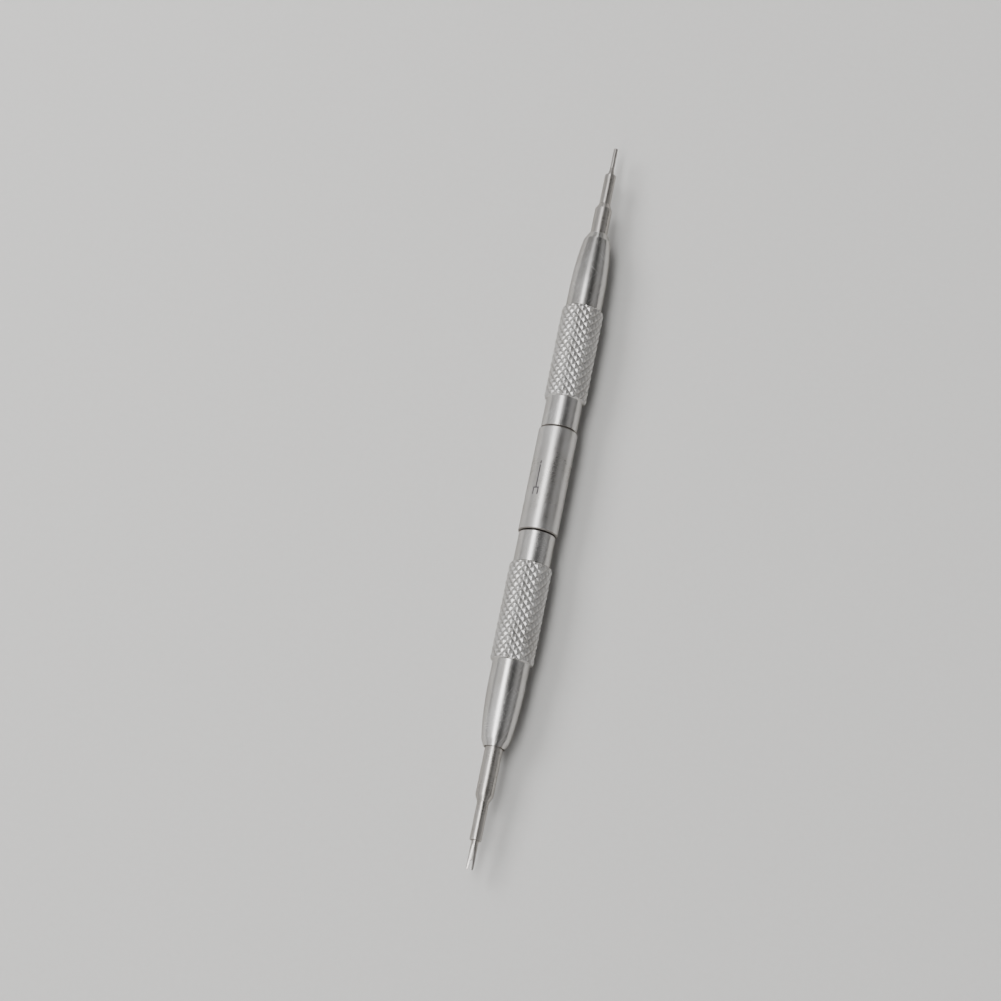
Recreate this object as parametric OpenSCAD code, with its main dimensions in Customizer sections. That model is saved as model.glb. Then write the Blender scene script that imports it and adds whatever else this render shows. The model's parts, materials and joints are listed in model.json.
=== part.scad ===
// Two-ended spring bar tool for fitting and removing the sprung pins of watch straps.
// A smooth middle barrel has a threaded stud at each end. A knurled sleeve screws onto
// each stud and clamps the head of a stepped tip: a fine point at one end and a fine
// fork at the other. Unscrewing a sleeve frees its tip, which then leaves by the back.
//
// The tool lies along Y on the plane z = 0, with the point towards +Y. The origin is on
// that plane, half way along the tool. Threads are drawn as plain cylinders.

/* [Handle] */
// Diameter of the smooth middle barrel
barrel_d = 7.2; // [7:0.1:7.5]
// Length of the smooth middle barrel, from joint line to joint line
barrel_len = 20; // [14:1:40]
// Length of each screwed sleeve, from joint line to nose
sleeve_len = 40; // [36:1:60]
// Diameter of a sleeve beside its knurl
sleeve_d = 6.7; // [6.4:0.1:6.8]
// Diameter over the knurl
knurl_d = 7.8; // [7.7:0.1:8.2]
// Length of the plain collar between the joint line and the knurl
collar_len = 6; // [3:0.5:8]
// Length of the knurled band
knurl_len = 18.5; // [10:0.5:20]
// Diameter at the end of the nose's long curve, where its short cone starts
nose_curve_end_d = 5.1; // [4.8:0.1:5.4]
// Diameter of the blunt end of the nose
nose_d = 3.8; // [3.7:0.1:4.2]
// Radius of the long curve that closes the nose in
nose_curve_r = 68; // [50:1:75]
// Length of the short cone at the end of the nose
nose_cone_len = 1.3; // [0.8:0.1:2]

/* [Thread] */
// Outside diameter of the stud's thread
thread_d = 4.5; // [4.2:0.1:4.6]
// Length of the stud that enters the sleeve
stud_len = 7.5; // [5:0.5:9]

/* [Tips] */
// Diameter of the shank that fills the sleeve's bore
shank_d = 3.2; // [2.8:0.1:3.2]
// Diameter of the head that the stud clamps
head_d = 4; // [3.8:0.1:4.2]
// Thickness of the head
head_len = 1.5; // [1:0.1:2]
// Diameter of the reduced neck beyond the shank
neck_d = 2.1; // [1.8:0.1:2.2]
// Length of the cone between the shank and the neck
shoulder_len = 1.1; // [0.4:0.1:1.6]
// Length of shank that shows beyond the nose on the point
point_shank_out = 6; // [3:0.5:12]
// Length of the point's neck
point_neck_len = 6.8; // [4:0.1:10]
// Length of the needle beyond the neck
needle_len = 5.7; // [4:0.1:8]
// Diameter of the needle's straight end
needle_d = 0.8; // [0.6:0.05:1]
// Length of shank that shows beyond the nose on the fork
fork_shank_out = 9.2; // [3:0.1:12]
// Length of the fork's neck
fork_neck_len = 7.4; // [4:0.1:10]
// Length of the fork's blade
blade_len = 5.1; // [4:0.1:8]
// Width of the fork's blade
blade_w = 1.3; // [1.1:0.05:1.6]
// Thickness of the blade at its end
blade_end_t = 0.45; // [0.3:0.05:0.6]
// Width of the slot that grips under the flange of a spring bar
slot_w = 0.5; // [0.4:0.05:0.6]
// Depth of the slot
slot_depth = 1.7; // [1:0.1:2.5]

/* [Hidden] */
$fn = 96;

eps = 0.01;              // overlap that makes a cut run clean through a face
through = 1;             // how far a bore's cutter runs past the end of its solid
joint_gap = 0.12;        // gap left at each joint line when the tip is clamped tight
edge = 0.18;             // chamfer on the handle's turned edges
small_edge = 0.12;       // chamfer on the tips' turned edges
thread_clearance = 0.05; // radial, between stud and socket
shank_clearance = 0.03;  // radial, between shank and bore
relief_len = 0.8;        // run-out groove at the root of the stud
relief_d = 3.5;
stud_chamfer = 0.4;
socket_chamfer = 0.25;   // lead-in at the sleeve's mouth
knurl_bevel = 0.35;      // length of the slope at both ends of the knurled band
needle_cone_len = 1.4;   // cone that joins the needle to the neck
needle_root_d = 1.2;
needle_edge = 0.12;
curve_steps = 12;        // straight lines that make up the nose's curve

socket_len = stud_len + head_len;
knurl_end = collar_len + knurl_len;
point_out = point_shank_out + point_neck_len + needle_len;
fork_out = fork_shank_out + fork_neck_len + blade_len;
barrel_y = (fork_out - point_out) / 2;
axis_z = knurl_d / 2;

// Turns each sleeve about its own axis. A sleeve is round, so this changes no shape: it moves
// the corners of the mesh made from it, on which the tool lies in simulation. With a corner
// just under the axis the tool would creep off it.
seam_turn = -2.857;

// The nose runs straight, then follows an arc that starts tangent to the sleeve.
nose_drop = (sleeve_d - nose_curve_end_d) / 2;
nose_run = sqrt(nose_curve_r * nose_curve_r - pow(nose_curve_r - nose_drop, 2));
function nose_r(run) =
    sleeve_d / 2 - nose_curve_r + sqrt(nose_curve_r * nose_curve_r - run * run);

// Puts a solid drawn along +Z, with z = 0 at a joint line, at that end of the tool.
module point_end()
    translate([0, barrel_y + barrel_len / 2, axis_z]) rotate([-90, 0, 0]) children();
module fork_end()
    translate([0, barrel_y - barrel_len / 2, axis_z]) rotate([90, 0, 0]) children();

// A round bar with both edges chamfered.
module bar(d, len, low_edge = small_edge, high_edge = small_edge)
    rotate_extrude()
        polygon([
            [0, 0], [d / 2 - low_edge, 0], [d / 2, low_edge],
            [d / 2, len - high_edge], [d / 2 - high_edge, len], [0, len]
        ]);

// Run-out groove, threaded length and lead-in, drawn at the thread's outside diameter.
module stud() {
    translate([0, 0, -eps]) cylinder(d = relief_d, h = relief_len + 2 * eps);
    translate([0, 0, relief_len])
        bar(thread_d - 2 * thread_clearance, stud_len - relief_len, stud_chamfer / 2, stud_chamfer);
}

// A cut mark: a thin bar sunk into the barrel's side, turned about the tool's axis.
mark_depth = 0.1;
mark_angle = -31;  // degrees from the top of the barrel, towards -X
mark_stroke = 0.24;
module mark(y, across, len_y, len_across)
    translate([0, y, 0]) rotate([0, mark_angle + across, 0])
        translate([-len_across / 2, -len_y / 2, barrel_d / 2 - mark_depth])
            cube([len_across, len_y, 1]);

// A plain pictogram of the two ends: a line, a bar at the point end, a fork at the other.
pictogram_len = 6.4;
prong_spread = 7.5; // degrees round the barrel from the line to each prong
module pictogram() {
    mark(0, 0, pictogram_len - 2, mark_stroke);
    mark(pictogram_len / 2 - 0.5, 0, 0.6, mark_stroke);
    mark(-pictogram_len / 2 + 1, 0, mark_stroke, 1.1);
    for (side = [-1, 1]) mark(-pictogram_len / 2 + 0.4, side * prong_spread, 1.4, mark_stroke);
}

module centre_barrel()
    color("gainsboro")
    union() {
        difference() {
            translate([0, barrel_y - barrel_len / 2, axis_z]) rotate([-90, 0, 0])
                bar(barrel_d, barrel_len, edge, edge);
            translate([0, barrel_y, axis_z]) pictogram();
        }
        point_end() stud();
        fork_end() stud();
    }

// Collar, knurled band and nose, bored for the shank and counterbored for the stud.
module sleeve() {
    collar_r = sleeve_d / 2;
    nose_start = sleeve_len - nose_cone_len - nose_run;
    difference() {
        rotate_extrude()
            polygon(concat(
                [
                    [0, joint_gap], [collar_r - edge, joint_gap], [collar_r, joint_gap + edge],
                    [collar_r, collar_len], [knurl_d / 2, collar_len + knurl_bevel],
                    [knurl_d / 2, knurl_end - knurl_bevel], [collar_r, knurl_end]
                ],
                [for (i = [0 : curve_steps])
                    let (run = nose_run * i / curve_steps) [nose_r(run), nose_start + run]],
                [[nose_d / 2, sleeve_len], [0, sleeve_len]]
            ));
        translate([0, 0, joint_gap - eps])
            cylinder(d = thread_d + 2 * thread_clearance, h = socket_len - joint_gap + eps);
        translate([0, 0, joint_gap - eps])
            cylinder(
                d1 = thread_d + 2 * (thread_clearance + socket_chamfer),
                d2 = thread_d + 2 * thread_clearance, h = socket_chamfer
            );
        cylinder(d = shank_d + 2 * shank_clearance, h = sleeve_len + through);
    }
}

module point_sleeve() color("silver") point_end() rotate([0, 0, seam_turn]) sleeve();
module fork_sleeve() color("silver") fork_end() rotate([0, 0, -seam_turn]) sleeve();

// Head, shank, cone and neck, which both tips share. neck_z is half way along the cone.
module tip_body(shank_out, neck_len) {
    neck_z = sleeve_len + shank_out;
    cone_z = neck_z - shoulder_len / 2;
    neck_start = neck_z + shoulder_len / 2;
    translate([0, 0, stud_len]) bar(head_d, head_len, small_edge, small_edge / 2);
    translate([0, 0, socket_len - eps]) cylinder(d = shank_d, h = cone_z - socket_len + eps);
    translate([0, 0, cone_z]) cylinder(d1 = shank_d, d2 = neck_d, h = shoulder_len);
    translate([0, 0, neck_start - eps])
        bar(neck_d, neck_z + neck_len - neck_start + eps, 0, small_edge);
}

module point_tip()
    color("darkgray")
    point_end() union() {
        needle_z = sleeve_len + point_shank_out + point_neck_len;
        tip_body(point_shank_out, point_neck_len);
        translate([0, 0, needle_z - eps])
            cylinder(d1 = needle_root_d, d2 = needle_d, h = needle_cone_len + eps);
        translate([0, 0, needle_z + needle_cone_len])
            bar(needle_d, needle_len - needle_cone_len, 0, needle_edge);
    }

// A round rod with two ground flats that thin it towards its end, slotted between prongs.
module blade() {
    flat_start = 0.8; // length of full round rod before the flats begin
    difference() {
        intersection() {
            translate([0, 0, -eps]) cylinder(d = blade_w, h = blade_len + eps);
            rotate([90, 0, 90])
                linear_extrude(height = blade_w + 1, center = true)
                    polygon([
                        [-blade_w, -1], [blade_w, -1],
                        [blade_w / 2, flat_start], [blade_end_t / 2, blade_len],
                        [-blade_end_t / 2, blade_len], [-blade_w / 2, flat_start]
                    ]);
        }
        translate([-slot_w / 2, -1, blade_len - slot_depth + slot_w / 2])
            cube([slot_w, 2, slot_depth]);
        translate([0, 1, blade_len - slot_depth + slot_w / 2])
            rotate([90, 0, 0]) cylinder(d = slot_w, h = 2);
    }
}

module fork_tip()
    color("darkgray")
    fork_end() union() {
        tip_body(fork_shank_out, fork_neck_len);
        translate([0, 0, sleeve_len + fork_shank_out + fork_neck_len]) blade();
    }

centre_barrel();
point_sleeve();
fork_sleeve();
point_tip();
fork_tip();
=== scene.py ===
"""Looks of the spring bar tool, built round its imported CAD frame.

Each CAD node is replaced by a finer mesh of the same piece: cut threads, a diamond knurl, an
engraved pictogram filled with ink, and small rounded edges. A piece is drawn in millimetres,
with z running outwards from a joint line of the handle, and is then put into the frame.
"""

import json
import math

import bmesh
import bpy
import numpy as np
from mathutils import Matrix, Vector

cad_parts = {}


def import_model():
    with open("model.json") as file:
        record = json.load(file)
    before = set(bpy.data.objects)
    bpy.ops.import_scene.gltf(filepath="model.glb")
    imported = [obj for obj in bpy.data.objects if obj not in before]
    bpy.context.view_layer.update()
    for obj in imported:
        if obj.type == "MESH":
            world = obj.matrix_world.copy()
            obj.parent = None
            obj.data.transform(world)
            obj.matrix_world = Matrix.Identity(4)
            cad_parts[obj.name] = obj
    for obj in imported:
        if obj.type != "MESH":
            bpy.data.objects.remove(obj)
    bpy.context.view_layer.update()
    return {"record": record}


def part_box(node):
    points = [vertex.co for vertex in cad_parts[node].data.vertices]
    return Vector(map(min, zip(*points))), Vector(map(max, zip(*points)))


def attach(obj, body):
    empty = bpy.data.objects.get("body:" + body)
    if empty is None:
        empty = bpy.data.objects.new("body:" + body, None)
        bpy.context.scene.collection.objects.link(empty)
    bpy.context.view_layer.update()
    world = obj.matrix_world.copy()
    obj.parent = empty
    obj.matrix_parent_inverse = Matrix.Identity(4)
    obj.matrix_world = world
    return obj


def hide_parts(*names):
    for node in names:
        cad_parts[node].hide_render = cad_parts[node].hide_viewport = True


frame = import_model()

MM = 0.001


# ---------------------------------------------------------------- sizes, in millimetres

def mount(name):
    return next(m for m in frame["record"]["mounts"] if m["name"] == name)


def span_y(node):
    """Lowest and highest Y of a CAD node."""
    low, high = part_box(node)
    return low.y / MM, high.y / MM


KNURL_R = mount("point_rack_seat")["dims"]["r_mm"]
NEEDLE_R = mount("needle_pin")["dims"]["r_mm"]
AXIS_Z = mount("needle_pin")["pos_m"][2] / MM

JOINT_GAP = 0.12
POINT_JOINT_Y = span_y("point_sleeve")[0] - JOINT_GAP
FORK_JOINT_Y = span_y("fork_sleeve")[1] + JOINT_GAP
BARREL_LEN = POINT_JOINT_Y - FORK_JOINT_Y
SLEEVE_LEN = span_y("point_sleeve")[1] - POINT_JOINT_Y
POINT_END = span_y("point_tip")[1] - POINT_JOINT_Y
FORK_END = FORK_JOINT_Y - span_y("fork_tip")[0]
STUD_LEN = span_y("centre_barrel")[1] - POINT_JOINT_Y
HEAD_LEN = 1.5
SOCKET_LEN = STUD_LEN + HEAD_LEN

# Handle
BARREL_R = 3.6
EDGE = 0.18
SLEEVE_R = 3.35
COLLAR_LEN = 6.0
KNURL_LEN = 18.5
NOSE_R = 1.9
NOSE_CONE_LEN = 1.3
NOSE_CURVE_R = 68.0
NOSE_CURVE_END_R = 2.55
NOSE_STEPS = 30
BORE_R = 1.63
BORE_LEAD = 0.08
SOCKET_LEAD = 0.25
SOCKET_RUN_OUT = 0.5

# Knurl: two crossed sets of helical grooves, which leave rows of diamonds
KNURL_STARTS = 16
KNURL_DIAMONDS = 12
KNURL_STEPS = 16
KNURL_DEPTH = 0.24
KNURL_FULL_DEPTH = 0.31
KNURL_ROUNDING = 0.05
KNURL_END_ROUNDING = 0.03
KNURL_BEVEL = 0.35

# Thread: M4.5 by 0.75, right-handed, with running clearance
PITCH = 0.75
THREAD_TURNS = 8
THREAD_FADE = 0.35
STUD_PLAIN = 0.3
STUD_LEAD = 0.1
STUD_THREAD = {"start": 0.6, "root_r": 1.75, "crest_r": 2.2, "root_flat": 0.139, "crest_flat": 0.169}
SOCKET_THREAD = {"root_r": 2.3, "crest_r": 1.86, "root_flat": 0.084, "crest_flat": 0.239}

# Tips
SHANK_R = 1.6
HEAD_R = 2.0
NECK_R = 1.05
SHOULDER_LEN = 1.1
POINT_NECK_LEN = 6.8
NEEDLE_LEN = 5.7
NEEDLE_CONE_LEN = 1.4
NEEDLE_ROOT_R = 0.6
FORK_NECK_LEN = 7.4
BLADE_LEN = 5.1
BLADE_R = 0.65
BLADE_END_T = 0.45
BLADE_FLAT_START = 0.8
BLADE_CORNER = 0.3
BLADE_END_ROUNDING = 0.08
BLADE_STEPS = 48
SLOT_W = 0.5
SLOT_DEPTH = 1.7

# Pictogram cut into the barrel
MARK_ANGLE = math.radians(-31)
MARK_DEPTH = 0.1
MARK_WALL = 0.05
STROKE = 0.24
PICTOGRAM_LEN = 6.4
PRONG_SPREAD = 0.47
MARK_BAND = 5.0  # half the length of the band of barrel that is meshed for the pictogram
MARK_BAND_EDGE = 0.5

# Mesh, wear, and dirt with painted shade
ARC_STEPS = 4
LONG_LINE = 0.6
SUPPORT = 0.02
EDGE_WEAR_AND_SHADE = 0.6
THREAD_WEAR = 0.4
# Mark for dirt with painted shade: darkens hollows, inside corners, joints and the nose's end
DIRT_AND_SHADE = -0.8
# How far past an edge the dirt and painted shade reach
DIRT_AND_SHADE_REACH = 0.02


# ---------------------------------------------------------------- meshes

def point_end(points):
    """Puts points drawn from the point's joint line into the frame."""
    x, y, z = points.T
    return np.stack([x, POINT_JOINT_Y + z, AXIS_Z - y], axis=1) * MM


def fork_end(points):
    """Puts points drawn from the fork's joint line into the frame."""
    x, y, z = points.T
    return np.stack([x, FORK_JOINT_Y - z, AXIS_Z + y], axis=1) * MM


def rounded(corners):
    """(z, r, wear and shade) points along a profile of (z, r, corner radius) corners, which become
    arcs.
    """
    points = [(*corners[0][:2], 0.0)]
    for before, corner, after in zip(corners, corners[1:], corners[2:]):
        here, radius = np.array(corner[:2], float), corner[2]
        back = np.array(before[:2]) - here
        on = np.array(after[:2]) - here
        back, on = back / np.linalg.norm(back), on / np.linalg.norm(on)
        if not radius:
            points.append((*here, 0.0))
            continue
        outside = back[0] * on[1] - back[1] * on[0] > 0
        # Outside corners are marked rubbed; inside corners get painted shade that darkens them
        wear = EDGE_WEAR_AND_SHADE if outside else -EDGE_WEAR_AND_SHADE
        half = math.acos(np.clip(back @ on, -1, 1)) / 2
        centre = here + (back + on) / np.linalg.norm(back + on) * radius / math.sin(half)
        first = here + back * radius / math.tan(half) - centre
        last = here + on * radius / math.tan(half) - centre
        sweep = math.pi - 2 * half
        for t in np.linspace(0, 1, ARC_STEPS + 1):
            spoke = first * math.sin((1 - t) * sweep) + last * math.sin(t * sweep)
            points.append((*(centre + spoke / math.sin(sweep)), wear if 0 < t < 1 else 0.0))
    points.append((*corners[-1][:2], 0.0))
    return with_support(points)


def with_support(points):
    """Adds a point close to both ends of each long line, so that the shading of a rounded corner
    doesn't spread along the line."""
    made = [points[0]]
    for (z0, r0, _), (z1, r1, wear) in zip(points, points[1:]):
        length = math.hypot(z1 - z0, r1 - r0)
        if length > LONG_LINE:
            for t in (SUPPORT / length, 1 - SUPPORT / length):
                made.append((z0 + t * (z1 - z0), r0 + t * (r1 - r0), 0.0))
        made.append((z1, r1, wear))
    return made


def dirtied_and_shaded(profile, z_low, z_high):
    """The same profile marked dark, dirt with painted shade, on every point between two heights."""
    return [(z, r, DIRT_AND_SHADE if z_low <= z <= z_high else wear) for z, r, wear in profile]


class Shell:
    """A surface drawn as rings of points round the z axis. Its outside is right-handed: a ring
    and then a ring further out along +z face away from the axis."""

    def __init__(self, columns):
        self.columns = columns
        self.angles = np.arange(columns) * 2 * math.pi / columns
        self.points, self.wear, self.finish, self.faces, self.count = [], [], [], [], 0

    def add(self, angles, z, r, wear=0.0, finish=0.0):
        """Adds points and returns their numbers."""
        angles, z, r, wear, finish = np.broadcast_arrays(angles, z, r, wear, finish)
        self.points.append(np.stack([r * np.cos(angles), r * np.sin(angles), z], axis=1))
        self.wear.append(np.array(wear, float))
        self.finish.append(np.array(finish, float))
        self.count += len(z)
        return np.arange(self.count - len(z), self.count)

    def ring(self, z, r, wear=0.0, finish=0.0, angles=None):
        return self.add(self.angles if angles is None else angles, z, r, wear, finish)

    def join(self, low, high, diagonal=None):
        """Faces between two rings, or between a ring and a single point. diagonal says which
        way each cell is split: None leaves the cells whole."""
        if len(low) == 1 or len(high) == 1:
            ring, tip = (low, high[0]) if len(high) == 1 else (high, low[0])
            onward = np.roll(ring, -1)
            a, b = (ring, onward) if len(high) == 1 else (onward, ring)
            self.faces += np.stack([a, b, np.full_like(a, tip)], axis=1).tolist()
            return
        a, b, c, d = low, np.roll(low, -1), np.roll(high, -1), high
        if diagonal is None:
            self.faces += np.stack([a, b, c, d], axis=1).tolist()
            return
        first = np.where(diagonal[:, None], np.stack([a, b, d], 1), np.stack([a, b, c], 1))
        second = np.where(diagonal[:, None], np.stack([b, c, d], 1), np.stack([a, c, d], 1))
        self.faces += first.tolist() + second.tolist()

    def lathe(self, profile):
        """Turns a profile of (z, r, wear and shade) points. A point on the axis closes the surface.
        """
        last = None
        for z, r, wear in profile:
            here = self.add(0.0, np.array([z]), 0.0, wear) if r == 0 else self.ring(z, r, wear)
            if last is not None:
                self.join(last, here)
            last = here

    def flip(self):
        self.faces = [face[::-1] for face in self.faces]
        return self


def smooth_min(a, b, rounding):
    """The smaller of two lengths, with the change between them rounded."""
    share = np.clip(0.5 + 0.5 * (b - a) / rounding, 0, 1)
    return b * (1 - share) + a * share - rounding * share * (1 - share)


def smooth_step(x):
    x = np.clip(x, 0, 1)
    return x * x * (3 - 2 * x)


def to_object(name, placed):
    """One mesh object from (shell, place) pairs, welded where their rings meet."""
    points = np.concatenate([place(np.concatenate(s.points)) for s, place in placed])
    wear = np.concatenate([w for s, _ in placed for w in s.wear])
    finish = np.concatenate([f for s, _ in placed for f in s.finish])
    faces, first = [], 0
    for shell, _ in placed:
        faces += [[first + i for i in face] for face in shell.faces]
        first += shell.count
    mesh = bpy.data.meshes.new(name)
    mesh.from_pydata(points.tolist(), [], faces)
    for label, values in (("wear", wear), ("finish", finish)):
        mesh.attributes.new(label, "FLOAT", "POINT").data.foreach_set("value", values)
    piece = bpy.data.objects.new(name, mesh)
    bpy.context.scene.collection.objects.link(piece)
    weld(mesh)
    return piece


def weld(mesh):
    bm = bmesh.new()
    bm.from_mesh(mesh)
    bmesh.ops.remove_doubles(bm, verts=bm.verts, dist=0.0001 * MM)
    bm.to_mesh(mesh)
    bm.free()


SHARP_ANGLE = math.radians(35)


def finish_mesh(piece):
    """Smooth shading, with the true corners kept sharp."""
    mesh = piece.data
    mesh.shade_smooth()
    mesh.set_sharp_from_angle(angle=SHARP_ANGLE)
    return piece


def add_thread(shell, z_from, z_to, start, root_r, crest_r, root_flat, crest_flat):
    """A helical thread between a plain ring at z_from and one at z_to. Each end of the thread
    fades into the root over THREAD_FADE of a turn."""
    columns = shell.columns
    flank = (1 - root_flat - crest_flat) / 2
    shares = (0.0, root_flat, root_flat + flank, root_flat + flank + crest_flat)
    radii = (root_r, root_r, crest_r, crest_r)
    steps = np.arange(THREAD_TURNS * columns + 1)
    height = smooth_step(np.minimum(steps, steps[-1] - steps) / columns / THREAD_FADE)
    edges = []
    for share, r in zip(shares, radii):
        k = np.arange(len(steps) + columns) if share == 0 else steps
        fade = 0.0 if share == 0 else height
        # Thread roots are darkened with painted shade and dirt; crests are rubbed
        wear = DIRT_AND_SHADE if r == root_r else THREAD_WEAR
        edges.append(shell.add(
            k * 2 * math.pi / columns, start + PITCH * (k / columns + share),
            root_r + fade * (r - root_r), wear,
        ))
    base = edges[0]
    edges.append(base[columns:])
    for low, high in zip(edges, edges[1:]):
        low, high = low[:len(steps)], high[:len(steps)]
        shell.faces += np.stack([low[:-1], low[1:], high[1:], high[:-1]], axis=1).tolist()
    bottom, top = shell.ring(z_from, root_r, DIRT_AND_SHADE), shell.ring(z_to, root_r, DIRT_AND_SHADE)
    onward = np.roll(bottom, -1)
    seam = [edge[0] for edge in edges[1:4]]
    for k in range(columns):
        face = [bottom[k], onward[k], base[k + 1], base[k]]
        if k == columns - 1:
            face = [bottom[k], onward[k], base[0], *seam, base[columns], base[k]]
        shell.faces.append([int(i) for i in face])
    last, onward = base[len(steps) - 1:], np.roll(top, -1)
    seam = [edge[-1] for edge in edges[3:0:-1]]
    for k in range(columns):
        face = [last[k], last[k + 1], onward[k], top[k]]
        if k == 0:
            face = [last[0], last[1], onward[0], top[0], last[columns], *seam]
        shell.faces.append([int(i) for i in face])


def socket_start():
    """Where the socket's thread starts, so that its groove takes the stud's crest."""
    flank = (1 - STUD_THREAD["root_flat"] - STUD_THREAD["crest_flat"]) / 2
    crest = STUD_THREAD["root_flat"] + flank + STUD_THREAD["crest_flat"] / 2
    return STUD_THREAD["start"] + PITCH * (crest - SOCKET_THREAD["root_flat"] / 2)


# ---------------------------------------------------------------- sleeves

def add_knurl(shell, z_from):
    """The knurled band, and the plain slopes turned at its ends. Every groove runs along the
    diagonals of the grid's cells."""
    rows = KNURL_DIAMONDS * KNURL_STEPS
    column = np.arange(shell.columns)
    last = None
    for row in range(rows + 1):
        z = row * KNURL_LEN / rows
        across = [(column + sign * row) / KNURL_STEPS for sign in (1, -1)]
        wall = [2 * KNURL_FULL_DEPTH * np.abs(p - np.round(p)) for p in across]
        height = smooth_min(smooth_min(*wall, KNURL_ROUNDING), KNURL_DEPTH, KNURL_ROUNDING)
        risen = min(1.0, z / KNURL_BEVEL, (KNURL_LEN - z) / KNURL_BEVEL)
        slope = SLEEVE_R + (KNURL_R - SLEEVE_R) * risen
        diamonds = KNURL_R - KNURL_DEPTH + height
        r = smooth_min(diamonds, np.full(shell.columns, slope), KNURL_END_ROUNDING)
        # Rubbed crests, and painted shade darkening the valleys between the diamonds
        wear = np.where(diamonds < slope, 1.35 * np.clip(height / KNURL_DEPTH, 0, 1) - 0.35, 0.0)
        here = shell.ring(z_from + z, np.maximum(r, SLEEVE_R), wear, diamonds < slope)
        if last is not None:
            middle = [(column + 0.5 + sign * (row - 0.5)) / KNURL_STEPS for sign in (1, -1)]
            off = [np.abs(p - np.round(p)) for p in middle]
            shell.join(last, here, diagonal=off[0] < off[1])
        last = here


def nose_profile():
    """Corners of the nose's long curve, which starts tangent to the sleeve."""
    drop = SLEEVE_R - NOSE_CURVE_END_R
    run = math.sqrt(NOSE_CURVE_R**2 - (NOSE_CURVE_R - drop) ** 2)
    start = SLEEVE_LEN - NOSE_CONE_LEN - run
    corners = []
    for s in np.linspace(0, run, NOSE_STEPS)[:-1]:
        r = SLEEVE_R - NOSE_CURVE_R + math.sqrt(NOSE_CURVE_R**2 - s * s)
        corners.append((start + s, r, 0))
    return corners


def sleeve(name, place):
    """Collar, knurl and nose outside; bore, head seat and threaded socket inside."""
    shell = Shell(KNURL_STARTS * KNURL_STEPS)
    knurl_end = COLLAR_LEN + KNURL_LEN
    thread_r = SOCKET_THREAD["root_r"]
    thread_from, thread_to = JOINT_GAP + SOCKET_LEAD, SOCKET_LEN - SOCKET_RUN_OUT
    mouth = rounded([
        (thread_from, thread_r, 0),
        (JOINT_GAP, thread_r + SOCKET_LEAD, 0.04),
        (JOINT_GAP, SLEEVE_R - EDGE, 0.05),
        (JOINT_GAP + EDGE, SLEEVE_R, 0.05),
        (COLLAR_LEN, SLEEVE_R, 0),
    ])
    # The joint line's chamfer is darkened: dirt with painted shade in the joint
    shell.lathe(dirtied_and_shaded(mouth, JOINT_GAP, JOINT_GAP + EDGE + DIRT_AND_SHADE_REACH))
    add_knurl(shell, COLLAR_LEN)
    nose = rounded([
        (knurl_end, SLEEVE_R, 0),
        *nose_profile(),
        (SLEEVE_LEN - NOSE_CONE_LEN, NOSE_CURVE_END_R, 0.25),
        (SLEEVE_LEN, NOSE_R, 0.06),
        (SLEEVE_LEN, BORE_R + BORE_LEAD, 0.03),
        (SLEEVE_LEN - BORE_LEAD, BORE_R, 0.03),
        (SOCKET_LEN, BORE_R, 0.03),
        (SOCKET_LEN, thread_r, 0.05),
        (thread_to, thread_r, 0),
    ])
    # The nose's end face is darkened with painted shade
    shell.lathe(dirtied_and_shaded(nose, SLEEVE_LEN - DIRT_AND_SHADE_REACH, SLEEVE_LEN))
    socket = Shell(shell.columns)
    add_thread(socket, thread_from, thread_to, start=socket_start(), **SOCKET_THREAD)
    return to_object(name, [(shell, place), (socket.flip(), place)])


# ---------------------------------------------------------------- barrel

def mark_strokes():
    """The pictogram: a line, a dash at the point end, and a fork at the other. Each stroke is
    its lowest and highest distance round the barrel and along it, from the pictogram's middle."""
    half = STROKE / 2
    prong = PRONG_SPREAD
    line_end = PICTOGRAM_LEN / 2 - 1
    prong_end = PICTOGRAM_LEN / 2 + 0.3
    return [
        (-half, half, -line_end, line_end),
        (-half, half, line_end + 0.2, line_end + 0.8),
        (-prong - half, prong + half, -line_end - half, -line_end + half),
        (-prong - half, -prong + half, -prong_end, -line_end),
        (prong - half, prong + half, -prong_end, -line_end),
    ]


def mark_angles(shell, strokes):
    """The shell's angles, with columns moved to both edges of each sloping wall of a stroke."""
    step = shell.angles[1]
    angles = shell.angles.copy()
    first = round((MARK_ANGLE - math.pi / 2) / step)
    for edge in sorted({abs(s[i]) for s in strokes for i in (0, 1)}):
        column = math.floor(edge / BARREL_R / step)
        for sign in (-1, 1):
            for offset in (0, 1):
                wall = edge + (offset - 0.5) * MARK_WALL
                angles[first + sign * (column + offset)] = first * step + sign * wall / BARREL_R
    return angles, angles - first * step


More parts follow.
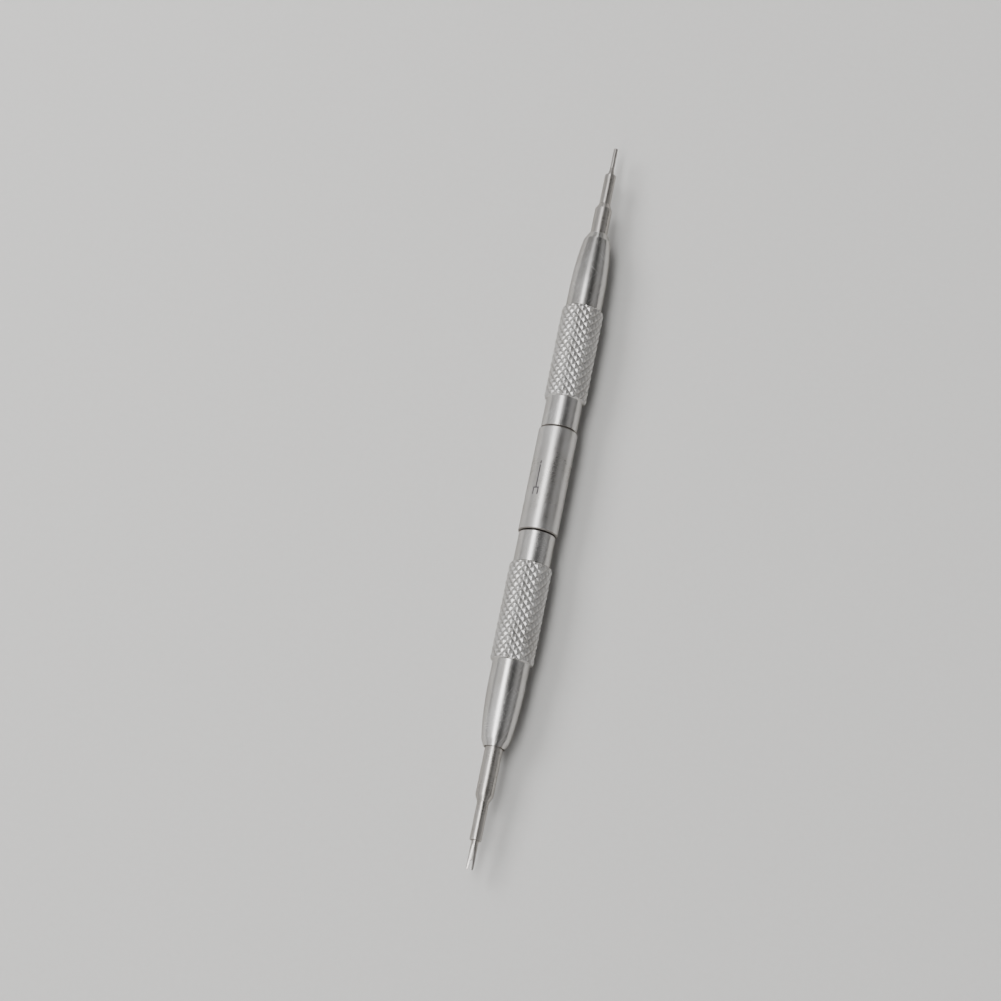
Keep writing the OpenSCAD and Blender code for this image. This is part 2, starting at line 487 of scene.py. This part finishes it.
def barrel_body():
    """The smooth barrel between its two end faces, with the pictogram cut into it."""
    shell = Shell(KNURL_STARTS * KNURL_STEPS)
    middle = -BARREL_LEN / 2
    strokes = mark_strokes()
    angles, turned = mark_angles(shell, strokes)
    around = ((turned + math.pi) % (2 * math.pi) - math.pi) * BARREL_R
    edges = sorted({s[i] for s in strokes for i in (2, 3)})
    rows = [edge + side * MARK_WALL / 2 for edge in edges for side in (-1, 1)]
    fork_side = rounded([
        (-BARREL_LEN, STUD_THREAD["root_r"], 0),
        (-BARREL_LEN, BARREL_R - EDGE, 0.05),
        (-BARREL_LEN + EDGE, BARREL_R, 0.05),
        (middle - MARK_BAND, BARREL_R, 0),
    ])
    # The joint line's chamfer is darkened: dirt with painted shade in the joint
    shell.lathe(dirtied_and_shaded(fork_side, -BARREL_LEN, -BARREL_LEN + EDGE + DIRT_AND_SHADE_REACH))
    last = shell.ring(middle - MARK_BAND, BARREL_R)
    inner = MARK_BAND - MARK_BAND_EDGE
    for z in [-inner, *rows, inner]:
        deep = np.zeros(shell.columns, bool)
        for low, high, z_low, z_high in strokes:
            deep |= (around > low) & (around < high) & (z_low < z < z_high)
        here = shell.ring(middle + z, BARREL_R - MARK_DEPTH * deep, finish=deep, angles=angles)
        shell.join(last, here)
        last = here
    shell.join(last, shell.ring(middle + MARK_BAND, BARREL_R))
    point_side = rounded([
        (middle + MARK_BAND, BARREL_R, 0),
        (-EDGE, BARREL_R, 0.05),
        (0, BARREL_R - EDGE, 0.05),
        (0, STUD_THREAD["root_r"], 0),
    ])
    # The joint line's chamfer is darkened: dirt with painted shade in the joint
    shell.lathe(dirtied_and_shaded(point_side, -EDGE - DIRT_AND_SHADE_REACH, 0))
    return shell


def stud():
    """A threaded stud with a plain root, open where it meets the barrel."""
    shell = Shell(KNURL_STARTS * KNURL_STEPS)
    root = STUD_THREAD["root_r"]
    thread_end = STUD_LEN - STUD_LEAD
    shell.lathe([(0, root, 0), (STUD_PLAIN, root, 0)])
    add_thread(shell, STUD_PLAIN, thread_end, **STUD_THREAD)
    shell.lathe(rounded([
        (thread_end, root, 0),
        (STUD_LEN, root - STUD_LEAD, 0.03),
        (STUD_LEN, 0, 0),
    ]))
    return shell


def barrel(name):
    """The barrel with its two studs."""
    return to_object(name, [(barrel_body(), point_end), (stud(), point_end), (stud(), fork_end)])


# ---------------------------------------------------------------- tips

TIP_COLUMNS = 192


def tip_corners(neck_z, neck_len):
    """Corners that both tips share, from the middle of the head's face to the end of the neck."""
    return [
        (STUD_LEN, 0, 0),
        (STUD_LEN, HEAD_R, 0.12),
        (SOCKET_LEN, HEAD_R, 0.06),
        (SOCKET_LEN, SHANK_R, 0.06),
        (neck_z - SHOULDER_LEN / 2, SHANK_R, 0.15),
        (neck_z + SHOULDER_LEN / 2, NECK_R, 0.3),
        (neck_z + neck_len, NECK_R, 0.1),
    ]


def point_tip(name):
    """Head, shank, neck and needle."""
    neck_z = POINT_END - NEEDLE_LEN - POINT_NECK_LEN
    needle_z = neck_z + POINT_NECK_LEN
    shell = Shell(TIP_COLUMNS)
    shell.lathe(rounded([
        *tip_corners(neck_z, POINT_NECK_LEN),
        (needle_z, NEEDLE_ROOT_R, 0.06),
        (needle_z + NEEDLE_CONE_LEN, NEEDLE_R, 1.5),
        (POINT_END, NEEDLE_R, 0.12),
        (POINT_END, 0, 0),
    ]))
    return to_object(name, [(shell, point_end)])


def add_blade(shell, z_from):
    """A round rod that two ground flats thin towards its end."""
    last = None
    end_z = z_from + BLADE_LEN
    for i in range(BLADE_STEPS + 1):
        z = BLADE_LEN * i / BLADE_STEPS
        share = max(0.0, (z - BLADE_FLAT_START) / (BLADE_LEN - BLADE_FLAT_START))
        half = BLADE_R + share * (BLADE_END_T / 2 - BLADE_R)
        to_flat = half / np.maximum(np.abs(np.sin(shell.angles)), 1e-6)
        r = smooth_min(to_flat, np.full(shell.columns, BLADE_R), BLADE_CORNER) if share else BLADE_R
        here = shell.ring(z_from + z - (BLADE_END_ROUNDING if i == BLADE_STEPS else 0), r)
        if last is not None:
            shell.join(last, here)
        last, edge = here, r
    for t in np.linspace(0, math.pi / 2, ARC_STEPS + 1)[1:]:
        shrink = BLADE_END_ROUNDING * (1 - math.cos(t))
        z = end_z - BLADE_END_ROUNDING * (1 - math.sin(t))
        here = shell.ring(z, edge - shrink, EDGE_WEAR_AND_SHADE)
        shell.join(last, here)
        last = here
    shell.join(last, shell.add(0.0, np.array([end_z]), 0.0))


def fork_tip(name):
    """Head, shank, neck and slotted blade."""
    neck_z = FORK_END - BLADE_LEN - FORK_NECK_LEN
    blade_z = neck_z + FORK_NECK_LEN
    shell = Shell(TIP_COLUMNS)
    shell.lathe(rounded([*tip_corners(neck_z, FORK_NECK_LEN), (blade_z, BLADE_R, 0)]))
    add_blade(shell, blade_z)
    piece = to_object(name, [(shell, fork_end)])
    cut_slot(piece)
    return piece


def cut_slot(piece):
    """Cuts the slot with a round root that leaves the blade as two prongs."""
    arc = np.linspace(0, math.pi, 25)
    root_z = FORK_END - SLOT_DEPTH + SLOT_W / 2
    outline = [(SLOT_W / 2 * math.cos(t), root_z - SLOT_W / 2 * math.sin(t)) for t in arc]
    outline += [(-SLOT_W / 2, FORK_END + 1), (SLOT_W / 2, FORK_END + 1)]
    count = len(outline)
    points = np.array([(x, y, z) for y in (-1.0, 1.0) for x, z in outline])
    faces = [list(range(count - 1, -1, -1)), list(range(count, 2 * count))]
    faces += [[i, (i + 1) % count, count + (i + 1) % count, count + i] for i in range(count)]
    mesh = bpy.data.meshes.new("slot_cutter")
    mesh.from_pydata(fork_end(points).tolist(), [], faces)
    cutter = bpy.data.objects.new("slot_cutter", mesh)
    bpy.context.scene.collection.objects.link(cutter)
    cut = piece.modifiers.new("slot", "BOOLEAN")
    cut.operation, cut.solver, cut.object = "DIFFERENCE", "MANIFOLD", cutter
    graph = bpy.context.evaluated_depsgraph_get()
    made = piece.evaluated_get(graph)
    piece.data = bpy.data.meshes.new_from_object(
        made, preserve_all_data_layers=True, depsgraph=graph
    )
    piece.modifiers.clear()
    bpy.data.objects.remove(cutter)


# ---------------------------------------------------------------- materials

def base_colour(slot):
    found = next(m for m in frame["record"]["materials"] if m["slot"] == slot)
    return (*found["base_color"], 1.0)


class Graph:
    """Short names for the shader nodes that the materials use."""

    def __init__(self, tree):
        self.tree = tree

    def node(self, kind, inputs=None, **settings):
        made = self.tree.nodes.new(kind)
        for key, value in settings.items():
            setattr(made, key, value)
        for key, value in (inputs or {}).items():
            self.plug(made.inputs[key], value)
        return made

    def plug(self, socket, value):
        if isinstance(value, bpy.types.NodeSocket):
            self.tree.links.new(value, socket)
        else:
            socket.default_value = value

    def maths(self, operation, *values, clamp=False):
        made = self.node("ShaderNodeMath", operation=operation, use_clamp=clamp)
        for socket, value in zip(made.inputs, values):
            self.plug(socket, value)
        return made.outputs[0]

    def scaled(self, vector, factors):
        made = self.node("ShaderNodeVectorMath", {0: vector, 1: factors}, operation="MULTIPLY")
        return made.outputs[0]

    def noise(self, vector, detail=2.0, roughness=0.5):
        inputs = {"Vector": vector, "Scale": 1.0, "Detail": detail, "Roughness": roughness}
        return self.node("ShaderNodeTexNoise", inputs).outputs["Fac"]

    def remap(self, value, low, high, to_low, to_high):
        inputs = {0: value, 1: low, 2: high, 3: to_low, 4: to_high}
        return self.node("ShaderNodeMapRange", inputs).outputs[0]

    def blend(self, share, a, b):
        made = self.node("ShaderNodeMix", data_type="RGBA")
        for index, value in ((0, share), (6, a), (7, b)):
            self.plug(made.inputs[index], value)
        return made.outputs[2]

    def attribute(self, name):
        return self.node("ShaderNodeAttribute", attribute_name=name).outputs["Fac"]


FEED_MARKS = (250.0, 21000.0, 250.0)  # waves of noise in a metre, along X, Y and Z
FEED_BANDS = (90.0, 2300.0, 90.0)
SMUDGES = (210.0, 150.0, 210.0)
SCRATCHES = (14000.0, 260.0, 1.0)
# Colour of dirt with painted shade in hollows, inside corners and joints
DIRT_AND_SHADE_COLOUR = (0.11, 0.088, 0.07, 1.0)
INK_COLOUR = (0.06, 0.057, 0.06, 1.0)
INK_ROUGHNESS = 0.55
KNURL_MATT = 0.15
RELIEF = 0.0022


def scratches(graph, coordinates, turn, density):
    """Hair-fine handling scratches that run at one angle over the unrolled surface."""
    split = graph.node("ShaderNodeSeparateXYZ", {0: coordinates})
    height = graph.maths("SUBTRACT", split.outputs["Z"], AXIS_Z * MM)
    angle = graph.maths("ARCTAN2", split.outputs["X"], height)
    across = graph.maths("MULTIPLY", angle, SLEEVE_R * MM)
    flat = graph.node("ShaderNodeCombineXYZ", {"X": across, "Y": split.outputs["Y"]})
    turned = graph.node(
        "ShaderNodeVectorRotate", {"Vector": flat.outputs[0], "Angle": turn}, rotation_type="Z_AXIS"
    )
    stretched = graph.scaled(turned.outputs[0], SCRATCHES)
    return graph.remap(graph.noise(stretched, 1.0), density, density + 0.05, 0.0, 1.0)


def steel_colour(graph, base, smudge, rubbed, shade_and_dirt_amount):
    """The base colour, duller in smudges, lighter where rubbed, and dark with dirt and painted
    shade.
    """
    light = tuple(min(1.0, c * 1.18) for c in base[:3]) + (1.0,)
    dull = tuple(c * k for c, k in zip(base[:3], (0.86, 0.85, 0.83))) + (1.0,)
    colour = graph.blend(graph.remap(smudge, 0.35, 0.65, 0.0, 1.0), dull, base)
    colour = graph.blend(graph.maths("MULTIPLY", rubbed, 0.8), colour, light)
    return graph.blend(shade_and_dirt_amount, colour, DIRT_AND_SHADE_COLOUR)


def steel_roughness(graph, roughness, changes, rubbed):
    """The roughness with what raises it added, and less where rubbed."""
    for change in changes:
        roughness = graph.maths("ADD", roughness, change)
    return graph.maths("SUBTRACT", roughness, graph.maths("MULTIPLY", rubbed, 0.08), clamp=True)


def steel(name, slot, roughness, grime_and_shade, turned=1.0, inked=False):
    """Turned steel: feed marks round the tool, smudges, fine scratches, rubbed edges and crests,
    and dirt with painted shade darkening the hollows. The surfaces with a finish of their own are
    the pictogram, which is filled with ink, and the knurl, which is rolled and so more matt."""
    material = bpy.data.materials.new(name)
    material.use_nodes = True
    graph = Graph(material.node_tree)
    shader = material.node_tree.nodes["Principled BSDF"]
    place = graph.node("ShaderNodeTexCoord").outputs["Object"]
    feed = graph.noise(graph.scaled(place, FEED_MARKS), 3.0, 0.65)
    bands = graph.noise(graph.scaled(place, FEED_BANDS), 2.0)
    smudge = graph.noise(graph.scaled(place, SMUDGES), 3.0, 0.6)
    lines = graph.maths(
        "ADD", scratches(graph, place, 0.5, 0.68), scratches(graph, place, -0.95, 0.7), clamp=True
    )
    wear, finish = graph.attribute("wear"), graph.attribute("finish")
    rubbed = graph.maths("MAXIMUM", wear, 0.0)
    # Dark marks: dirt with painted shade in hollows, inside corners and joints
    shade_and_dirt_mask = graph.maths("MAXIMUM", graph.maths("MULTIPLY", wear, -1.0), 0.0)

    shade_and_dirt_amount = graph.maths("MULTIPLY", shade_and_dirt_mask, grime_and_shade)
    colour = steel_colour(graph, base_colour(slot), smudge, rubbed, shade_and_dirt_amount)
    rough = steel_roughness(graph, roughness, [
        graph.remap(smudge, 0.3, 0.7, -0.04, 0.06),
        graph.remap(feed, 0.2, 0.8, -0.03, 0.03),
        graph.maths("MULTIPLY", lines, 0.1),
        graph.maths("MULTIPLY", shade_and_dirt_mask, 0.25),
    ], rubbed)
    relief = graph.maths("ADD", graph.maths("MULTIPLY", feed, turned), bands)
    relief = graph.maths("SUBTRACT", relief, graph.maths("MULTIPLY", lines, 0.7))
    bump = graph.node("ShaderNodeBump", {"Strength": 0.5, "Distance": RELIEF * MM, "Height": relief})

    metallic = 1.0
    if inked:
        ink = graph.remap(finish, 0.35, 0.65, 0.0, 1.0)
        colour = graph.blend(ink, colour, INK_COLOUR)
        rough = graph.maths("MAXIMUM", rough, graph.maths("MULTIPLY", ink, INK_ROUGHNESS))
        metallic = graph.maths("SUBTRACT", 1.0, ink)
    else:
        rough = graph.maths("ADD", rough, graph.maths("MULTIPLY", finish, KNURL_MATT))
    tangent = graph.node("ShaderNodeTangent", direction_type="RADIAL", axis="Y")
    graph.plug(shader.inputs["Base Color"], colour)
    graph.plug(shader.inputs["Roughness"], rough)
    graph.plug(shader.inputs["Metallic"], metallic)
    graph.plug(shader.inputs["Normal"], bump.outputs[0])
    graph.plug(shader.inputs["Tangent"], tangent.outputs[0])
    shader.inputs["Anisotropic"].default_value = 0.3
    shader.inputs["Specular Tint"].default_value = (0.55, 0.54, 0.52, 1.0)
    return material


# ---------------------------------------------------------------- the tool

def dress(piece, body, node, material):
    finish_mesh(piece)
    piece.data.materials.clear()
    piece.data.materials.append(material)
    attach(piece, body)
    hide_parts(node)


barrel_steel = steel("barrel_steel", "barrel_steel", 0.3, grime_and_shade=0.8, inked=True)
sleeve_steel = steel("sleeve_steel", "sleeve_steel", 0.22, grime_and_shade=0.8)
tip_steel = steel("tip_steel", "tip_steel", 0.28, grime_and_shade=0.6, turned=0.6)

dress(barrel("barrel_turned"), "barrel", "centre_barrel", barrel_steel)
for end, place in (("point", point_end), ("fork", fork_end)):
    made = sleeve(f"{end}_sleeve_knurled", place)
    dress(made, f"{end}_sleeve", f"{end}_sleeve", sleeve_steel)
dress(point_tip("point_tip_turned"), "point_tip", "point_tip", tip_steel)
dress(fork_tip("fork_tip_slotted"), "fork_tip", "fork_tip", tip_steel)


# ---------------------------------------------------------------- studio

FLOOR_SIZE = 6.0
FLOOR_TONES = (0.46, 0.454, 0.441, 1.0), (0.495, 0.489, 0.478, 1.0)
CAMERA_AZIMUTH = math.radians(11.21)
CAMERA_ELEVATION = math.radians(70.91)
CAMERA_DISTANCE = 0.4572
CAMERA_TARGET = Vector((-0.00805, -0.00198, 0.0))
CAMERA_LENS = 90.31


def floor():
    """A plain pale floor with a faint grain."""
    half = FLOOR_SIZE / 2
    corners = [(-half, -half, 0), (half, -half, 0), (half, half, 0), (-half, half, 0)]
    mesh = bpy.data.meshes.new("floor")
    mesh.from_pydata(corners, [], [(0, 1, 2, 3)])
    made = bpy.data.objects.new("floor", mesh)
    bpy.context.scene.collection.objects.link(made)
    material = bpy.data.materials.new("pale_floor")
    material.use_nodes = True
    graph = Graph(material.node_tree)
    shader = material.node_tree.nodes["Principled BSDF"]
    place = graph.node("ShaderNodeTexCoord").outputs["Object"]
    grain = graph.noise(graph.scaled(place, (900.0, 900.0, 900.0)), 4.0, 0.6)
    tone = graph.blend(grain, *FLOOR_TONES)
    graph.plug(shader.inputs["Base Color"], tone)
    shader.inputs["Roughness"].default_value = 0.75
    mesh.materials.append(material)


def area_light(name, round_deg, along_deg, distance, width, length, power):
    """A soft box over the tool, at an angle round the tool's axis from straight up (+X is
    positive) and at an angle along it (+Y is positive)."""
    data = bpy.data.lights.new(name, "AREA")
    data.shape, data.size, data.size_y, data.energy = "RECTANGLE", width, length, power
    made = bpy.data.objects.new(name, data)
    bpy.context.scene.collection.objects.link(made)
    a, e = math.radians(round_deg), math.radians(along_deg)
    out = Vector((math.sin(a) * math.cos(e), math.sin(e), math.cos(a) * math.cos(e)))
    side = Vector((0, 1, 0)).cross(out).normalized()
    made.location = Vector((0, 0, AXIS_Z * MM)) + out * distance
    made.rotation_euler = Matrix((side, out.cross(side), out)).transposed().to_euler()
    made.visible_camera = False
    made.visible_glossy = False


# Brightness of the room round the tool's axis, in degrees from straight up towards +X
ROOM = [
    (-180, 0.55), (-100, 0.5), (-68, 0.36), (-44, 0.32), (-8, 0.32), (4, 0.28), (15, 0.11),
    (26, 0.06), (38, 0.2), (50, 0.37), (63, 0.44), (76, 0.3), (92, 0.06), (130, 0.15), (180, 0.4),
]
# The lamp that makes the highlight: its brightness round the axis, and its share along it
LAMP = [
    (-180, 0), (-84, 0.1), (-64, 0.7), (-42, 0.7), (-31, 1.1), (-22, 9), (-16, 9), (-4, 0), (180, 0),
]
LAMP_ALONG = [
    (-1, 0.7), (-0.3, 0.9), (0, 1), (0.29, 1), (0.33, 0.6), (0.36, 0.65), (0.45, 0.2), (0.6, 0.1),
    (1, 0.3),
]


def brightness(graph, value, stops):
    """A value's brightness from a list of (value, brightness) stops, smoothly blended."""
    low, high = stops[0][0], stops[-1][0]
    top = max(level for _, level in stops)
    share = graph.remap(value, low, high, 0.0, 1.0)
    made = graph.node("ShaderNodeValToRGB", {0: share})
    ramp = made.color_ramp
    ramp.interpolation = "EASE"
    while len(ramp.elements) < len(stops):
        ramp.elements.new(0.5)
    for element, (at, level) in zip(ramp.elements, stops):
        element.position = (at - low) / (high - low)
        element.color = (level / top, level / top, level / top, 1.0)
    return graph.maths("MULTIPLY", made.outputs["Color"], top)


BACKDROP = (0.62, 0.615, 0.6, 1.0)


def world():
    """A pale room. Its brightness changes round the tool's axis, as soft boxes and a dark card
    beside the tool would make it. Behind the tool, the picture shows a plain backdrop."""
    made = bpy.data.worlds.new("studio")
    made.use_nodes = True
    bpy.context.scene.world = made
    graph = Graph(made.node_tree)
    background = made.node_tree.nodes["Background"]
    way = graph.node("ShaderNodeTexCoord").outputs["Generated"]
    split = graph.node("ShaderNodeSeparateXYZ", {0: way})
    turned = graph.maths("ARCTAN2", split.outputs["X"], split.outputs["Z"])
    degrees = graph.maths("MULTIPLY", turned, 180 / math.pi)
    lamp = graph.maths(
        "MULTIPLY", brightness(graph, degrees, LAMP),
        brightness(graph, split.outputs["Y"], LAMP_ALONG),
    )
    room = graph.maths("ADD", brightness(graph, degrees, ROOM), lamp)
    seen = graph.node("ShaderNodeLightPath").outputs["Is Camera Ray"]
    graph.plug(background.inputs["Color"], graph.blend(seen, room, BACKDROP))


def camera():
    """A camera that sees the tool as the photograph does."""
    data = bpy.data.cameras.new("camera")
    data.lens, data.sensor_width = CAMERA_LENS, 36.0
    data.clip_start = 0.01
    made = bpy.data.objects.new("camera", data)
    bpy.context.scene.collection.objects.link(made)
    flat = math.cos(CAMERA_ELEVATION)
    out = Vector((
        math.sin(CAMERA_AZIMUTH) * flat, -math.cos(CAMERA_AZIMUTH) * flat,
        math.sin(CAMERA_ELEVATION),
    ))
    made.location = CAMERA_TARGET + out * CAMERA_DISTANCE
    made.rotation_euler = out.to_track_quat("Z", "Y").to_euler()
    bpy.context.scene.camera = made


floor()
world()
area_light(
    "key", round_deg=-50.0, along_deg=12.0, distance=0.9, width=0.34, length=0.5, power=9.5
)
camera()
